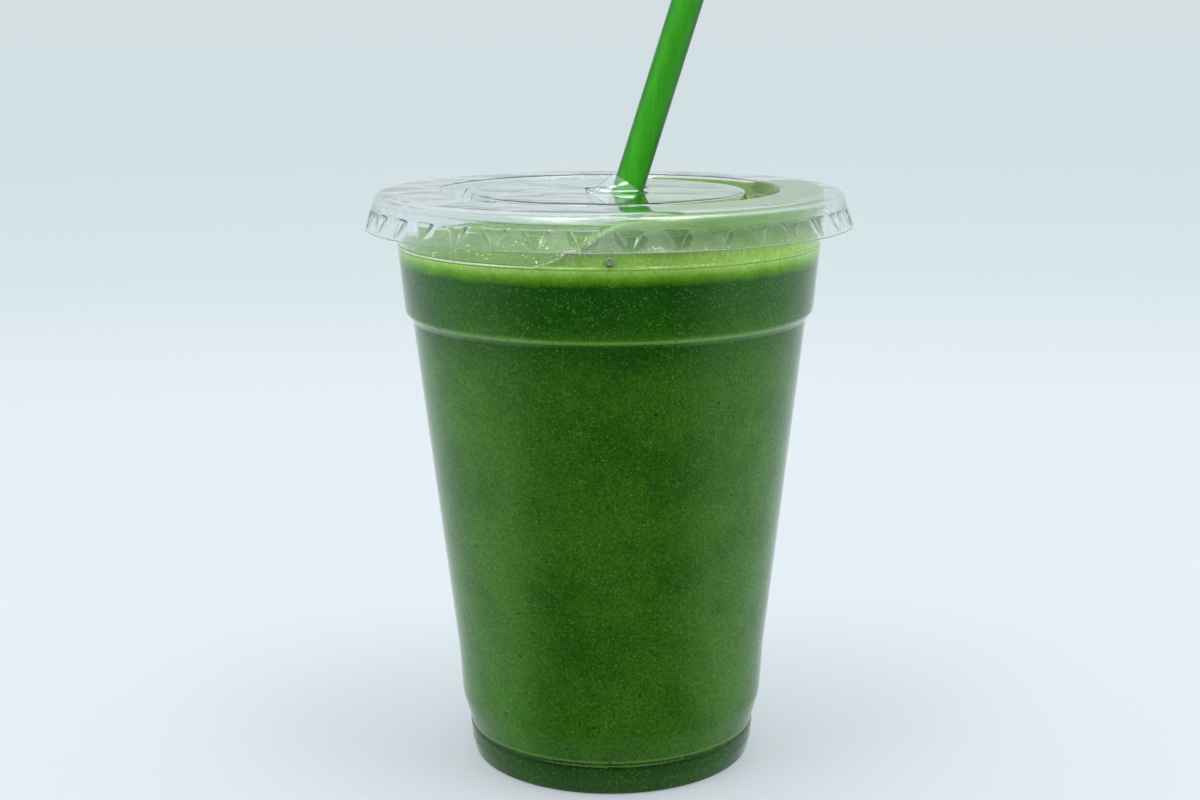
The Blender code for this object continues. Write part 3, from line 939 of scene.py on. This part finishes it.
def build_lid(material, fold_material):
    work = spun(subdivided(rounded(LID_CORNERS, 5), LID_LONGEST_RUN), LID_STEPS)
    face_out(work, SKIRT_MIDDLE_HEIGHT)
    square_slot(work)
    mark_folds(work)
    flute(work)
    work.verts.layers.float.new("across")
    for degrees, hang in HANGING_FLAPS:
        add_flap(work, math.radians(degrees), hanging(math.radians(hang)))
    add_flap(work, FRONT_FLAP_HEADING, hanging(-FRONT_FLAP_RISE), fold_front_flap)
    bmesh.ops.remove_doubles(work, verts=work.verts, dist=0.5 * MERGE)
    swell_top(work)
    lid = piece("flat_lid", work, [material, fold_material])
    thicken(lid, LID_WALL, even=False)
    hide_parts("lid")
    return lid


def build_lid_edge(material):
    """The skirt's cut edge, a thin pale line all round, partly a painted highlight."""
    radius, height, thick = LID_EDGE_RING
    bead = arc((radius * MM, height * MM), thick * MM, 0.0, 360.0, LID_EDGE_SIDES)[:-1]
    work = spun(bead, LID_STEPS, closed=True)
    bmesh.ops.recalc_face_normals(work, faces=work.faces)
    return piece("lid_edge", work, [material])


# Straw


def build_straw(material):
    half = 0.5 * STRAW_LENGTH
    inner = STRAW_RADIUS - STRAW_WALL
    outline = [
        Vector((inner + STRAW_LIP, half)),
        Vector((STRAW_RADIUS - STRAW_LIP, half)),
        Vector((STRAW_RADIUS, half - STRAW_LIP)),
        Vector((STRAW_RADIUS, -half + STRAW_LIP)),
        Vector((STRAW_RADIUS - STRAW_LIP, -half)),
        Vector((inner + STRAW_LIP, -half)),
        Vector((inner, -half + STRAW_LIP)),
        Vector((inner, half - STRAW_LIP)),
    ]
    work = spun(subdivided(outline, STRAW_LONGEST_RUN), STRAW_STEPS, closed=True)
    bmesh.ops.recalc_face_normals(work, faces=work.faces)
    axis = Vector((math.sin(STRAW_TILT), 0.0, math.cos(STRAW_TILT)))
    start = STRAW_AT_LID - axis * ((STRAW_AT_LID.z - STRAW_END_HEIGHT) / math.cos(STRAW_TILT))
    place = Matrix.Translation(start + axis * half) @ Matrix.Rotation(STRAW_TILT, 4, "Y")
    bmesh.ops.transform(work, matrix=place, verts=work.verts)
    straw = piece("green_straw", work, [material])
    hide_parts("straw")
    return straw


# Smoothie


def ceiling(radius, bearing):
    """How high the banked drink stands at that radius: against the lid, or lower under its middle."""
    channel = CHANNEL_FLOOR - PRESSED_UNDER
    if radius < MIDDLE_EDGE:
        return mix(MIDDLE_CEILING, channel, smooth_step(radius, MIDDLE_RADIUS, MIDDLE_EDGE))
    low_ring = mix(*LOW_RING_HEIGHTS, smooth_step(radius, *LOW_RING_SPAN))
    ring = mix(RING_TOP - PRESSED_UNDER, low_ring, smooth_step(bearing, *LOW_RING_BEARINGS))
    return mix(channel, ring, smooth_step(radius, *RING_STEP_SPAN))


def waves(x, y, layers):
    """The sum of a few layers of noise at that place."""
    return sum(noise.noise(Vector((x, y, level)) * scale) * size * MM for level, scale, size in layers)


def past_bank_start(x, y):
    """How far that place lies beyond the line where the bank starts."""
    across = Vector((math.cos(BANK_HEADING), math.sin(BANK_HEADING)))
    return (Vector((x, y)) - BANK_START).dot(across)


def drink_height(x, y):
    """The drink's surface: level at the left, rising from the bank's line to the ceiling."""
    distance = past_bank_start(x, y) + waves(x, y, LINE_WAVES)
    width = mix(BANK_WIDTH_FRONT, BANK_WIDTH, smooth_step(y, *BANK_FRONT_SPAN))
    width = mix(width, BANK_WIDTH_BACK, smooth_step(y, *BANK_BACK_SPAN))
    share = min(1.0, max(0.0, distance / width))
    rise = math.sin(0.5 * math.pi * share) ** BANK_POWER
    radius = math.hypot(x, y)
    top = ceiling(radius, math.atan2(y, x))
    free = 1.0 - smooth_step(share, *FACE_HELD_SHARES) * smooth_step(radius, *FACE_HELD_RADII)
    lump = waves(x, y, FACE_WAVES) * mix(FACE_LEVEL_SHARE, 1.0, rise) * free
    return DRINK_LEVEL + (top - DRINK_LEVEL) * rise + lump


def drink_outline():
    """The drink's outline before its top is raised: middle to edge, then down the wall to the middle."""
    loops = [MIDDLE_LOOP_STEP * k for k in range(MIDDLE_LOOPS)] + [radius * MM for radius in RING_LOOPS]
    top = [Vector((radius, DRINK_LEVEL)) for radius in loops]
    rim = wall_radius(DRINK_SHOULDER) - DRINK_INTO_WALL
    edge = [Vector((rim, mix(DRINK_LEVEL, DRINK_SHOULDER, k / EDGE_ROWS))) for k in range(EDGE_ROWS + 1)]
    wall = subdivided(cup_path()[RIM_POINTS:], DRINK_LONGEST_RUN)
    wall = [point for point in wall if point.y < DRINK_SHOULDER - SHOULDER_GAP]
    side = []
    for before, here, after in zip(wall, wall[1:], wall[2:]):
        run = (after - before).normalized()
        side.append(here + Vector((run.y, -run.x)) * DRINK_INTO_WALL)
    side.append(Vector((0.0, side[-1].y)))
    return top + edge + side


def raise_face(work):
    """Lifts the drink's flat top to its real surface, and its edge up the wall with it."""
    rim = wall_radius(DRINK_SHOULDER) - DRINK_INTO_WALL
    for vert in work.verts:
        x, y, z = vert.co
        radius = math.hypot(x, y)
        if z <= DRINK_SHOULDER + MERGE:
            continue
        way = Vector((x, y)) / max(radius, TINY)
        edge_height = drink_height(*(way * WALL_READ_AT))
        edge_radius = min(wall_radius(edge_height), DRINK_WIDEST) - DRINK_INTO_WALL
        if radius > rim - EDGE_BAND:
            share = (z - DRINK_SHOULDER) / (DRINK_LEVEL - DRINK_SHOULDER)
            height = mix(DRINK_SHOULDER, edge_height, share)
            reach = min(wall_radius(height), DRINK_WIDEST) - DRINK_INTO_WALL
            vert.co = (way.x * reach, way.y * reach, height)
            continue
        grown = radius
        if radius > RING_STARTS_AT:
            grown = mix(RING_STARTS_AT, edge_radius, (radius - RING_STARTS_AT) / (rim - RING_STARTS_AT))
        spot = way * grown
        vert.co = (spot.x, spot.y, drink_height(spot.x, spot.y))


def build_drink(side_material, top_material):
    work = spun(drink_outline(), CUP_STEPS)
    bmesh.ops.recalc_face_normals(work, faces=work.faces)
    for face in work.faces:
        if all(v.co.z > DRINK_LEVEL - MERGE for v in face.verts):
            face.material_index = 1
    raise_face(work)
    drink = piece("green_smoothie", work, [side_material, top_material])
    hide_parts("smoothie")
    return drink


def add_bubble(work, centre, radius, flat=1.0):
    place = Matrix.Translation(centre) @ Matrix.Diagonal((1.0, 1.0, flat, 1.0))
    bmesh.ops.create_icosphere(work, subdivisions=1, radius=radius, matrix=place)


def add_wall_bubble(work, way, height, sunk, radius):
    """A bubble that touches the cup's wall from the inside."""
    reach = wall_radius(height) - sunk
    add_bubble(work, Vector((way.x * reach, way.y * reach, height)), radius)


def foam_on_face(work, rng):
    """Bubbles strewn over the drink's face, fewer on its level part and none where the lid presses on it."""
    for _ in range(FACE_BUBBLES):
        radius = FACE_FOAM_RADIUS * math.sqrt(rng.random())
        turn = rng.uniform(0.0, math.tau)
        x, y = radius * math.cos(turn), radius * math.sin(turn)
        distance = past_bank_start(x, y)
        if distance > FOAM_FREE_SHARE * BANK_WIDTH and radius > FOAM_FREE_RADIUS:
            continue
        if rng.random() > mix(FOAM_LEVEL_SHARE, 1.0, smooth_step(distance, *FOAM_GROWS_OVER)):
            continue
        size = rng.uniform(*FACE_BUBBLE_SIZES) ** FACE_BUBBLE_POWER * MM
        add_bubble(work, Vector((x, y, drink_height(x, y))), size, FACE_BUBBLE_FLAT)


def foam_on_wall(work, rng):
    """A line of bubbles on the wall, gathered in clusters, one of them thick."""
    middles = [rng.uniform(*WALL_FOAM_SPAN) for _ in range(WALL_CLUSTERS)] + list(THICK_CLUSTER)
    for _ in range(WALL_BUBBLES):
        degrees = rng.choice(middles) + rng.gauss(0.0, WALL_CLUSTER_WIDTH)
        way = Vector((math.cos(math.radians(degrees)), math.sin(math.radians(degrees))))
        top = drink_height(*(way * WALL_READ_AT))
        big = THICK_CLUSTER_GAIN if THICK_CLUSTER_SPAN[0] < degrees < THICK_CLUSTER_SPAN[1] else 1.0
        height = min((WALL_FOAM_HEIGHT + abs(rng.gauss(0.0, WALL_FOAM_SPREAD)) * big) * MM, top)
        add_wall_bubble(work, way, height, WALL_BUBBLE_SUNK, rng.uniform(*WALL_BUBBLE_SIZES) * big * MM)


def foam_on_edge(work, rng):
    """Bubbles along the line where the bank climbs the wall in front."""
    for _ in range(EDGE_BUBBLES):
        bearing = math.radians(rng.uniform(*EDGE_FOAM_SPAN))
        way = Vector((math.cos(bearing), math.sin(bearing)))
        edge = drink_height(*(way * WALL_READ_AT))
        height = mix(DRINK_LEVEL, edge, rng.random() ** EDGE_FOAM_POWER)
        height += rng.gauss(0.0, EDGE_FOAM_SPREAD) * MM
        add_wall_bubble(work, way, height, EDGE_BUBBLE_SUNK, rng.uniform(*EDGE_BUBBLE_SIZES) * MM)


def build_foam(material):
    """Bubbles on the drink's face, along its bank's edge and along the wall."""
    rng = random.Random(FOAM_SEED)
    work = bmesh.new()
    foam_on_face(work, rng)
    foam_on_wall(work, rng)
    foam_on_edge(work, rng)
    return piece("foam_bubbles", work, [material])


def build_nub(material):
    """The small round mark moulded into the cup's wall above the ledge, domed with a raised rim."""
    work = bmesh.new()
    way = Vector((math.cos(NUB_BEARING), math.sin(NUB_BEARING), 0.0))
    centre = way * (wall_radius(NUB_HEIGHT) - NUB_SUNK) + Vector((0.0, 0.0, NUB_HEIGHT))
    bmesh.ops.create_uvsphere(work, u_segments=24, v_segments=16, radius=NUB_RADIUS)
    for vert in work.verts:
        ring = math.hypot(vert.co.x, vert.co.z) / NUB_RADIUS
        vert.co.y *= NUB_DOME + NUB_RIM * smooth_step(ring, *NUB_RIM_SPAN)
    bmesh.ops.translate(work, vec=centre, verts=work.verts)
    return piece("cup_nub", work, [material])


# Stage


def build_floor():
    work = bmesh.new()
    bmesh.ops.create_circle(work, cap_ends=True, segments=96, radius=FLOOR_RADIUS)
    bmesh.ops.translate(work, vec=(0.0, 0.0, -FLOOR_DROP), verts=work.verts)
    mesh = bpy.data.meshes.new("floor")
    work.to_mesh(mesh)
    work.free()
    mesh.materials.append(floor_paint())
    floor = bpy.data.objects.new("floor", mesh)
    bpy.context.scene.collection.objects.link(floor)


def add_panel(name, place, width, depth, power):
    lamp = bpy.data.lights.new(name, "AREA")
    lamp.shape = "RECTANGLE"
    lamp.size = width
    lamp.size_y = depth
    lamp.energy = power
    made = bpy.data.objects.new(name, lamp)
    made.location = place
    made.rotation_euler = (PANEL_AIM - Vector(place)).to_track_quat("-Z", "Y").to_euler()
    bpy.context.scene.collection.objects.link(made)


def build_room():
    """The room's light: bright above, dim in front but for one strip. Seen directly, it is all wall."""
    world = bpy.data.worlds.new("studio")
    world.use_nodes = True
    world.node_tree.nodes.clear()
    nodes = Nodes(world.node_tree)
    way = nodes.add("ShaderNodeTexCoord").outputs["Generated"]
    front, parts = front_share(nodes, way)
    up = parts.outputs[2]
    around = nodes.mix(nodes.span(up, *ROOM_TOP_SPAN), ROOM_WALL, ROOM_TOP)
    strip = nodes.math("MULTIPLY", nodes.span(up, *STRIP_FROM), nodes.span(up, *STRIP_TO))
    ahead = nodes.mix(strip, ROOM_FRONT, STRIP_LIGHT)
    dimmed = nodes.mix(nodes.math("MULTIPLY", front, nodes.span(up, *ROOM_FRONT_END)), around, ahead)
    path = nodes.add("ShaderNodeLightPath")
    direct = nodes.math("MAXIMUM", path.outputs["Is Camera Ray"], path.outputs["Is Transmission Ray"])
    sky = nodes.add("ShaderNodeBackground", Color=nodes.mix(direct, dimmed, ROOM_WALL), Strength=1.0)
    output = nodes.add("ShaderNodeOutputWorld")
    nodes.feed(output.inputs[0], sky.outputs[0])
    bpy.context.scene.world = world


def build_camera():
    lens = bpy.data.cameras.new("camera")
    lens.lens = CAMERA_LENS
    lens.sensor_width = CAMERA_SENSOR
    lens.clip_start = 0.01
    lens.clip_end = 50.0
    camera = bpy.data.objects.new("camera", lens)
    bpy.context.scene.collection.objects.link(camera)
    turn = Matrix.Rotation(CAMERA_PITCH, 4, "X") @ Matrix.Rotation(CAMERA_ROLL, 4, "Z")
    camera.matrix_world = Matrix.Translation(CAMERA_AT) @ turn
    bpy.context.scene.camera = camera


def main():
    ripple = ripple_group()
    flecks = fleck_group()
    cup_clear = clear_plastic("clear_cup_plastic", CUP_CLEAR, ripple)
    lid_clear = clear_plastic("clear_lid_plastic", LID_CLEAR, ripple)
    build_camera()
    build_room()
    for panel in PANELS:
        add_panel(*panel)
    build_floor()
    build_cup(cup_clear)
    build_lid(lid_clear, creased_plastic())
    build_lid_edge(pale_edge_highlight())
    build_straw(straw_plastic())
    build_drink(drink_side(flecks), drink_top(flecks))
    build_foam(foam())
    build_nub(nub_plastic())
    scene = bpy.context.scene
    scene.view_settings.view_transform = "Standard"
    scene.cycles.max_bounces = BOUNCES
    scene.cycles.transmission_bounces = BOUNCES_THROUGH
    scene.cycles.glossy_bounces = BOUNCES_OFF
    scene.cycles.transparent_max_bounces = BOUNCES


main()
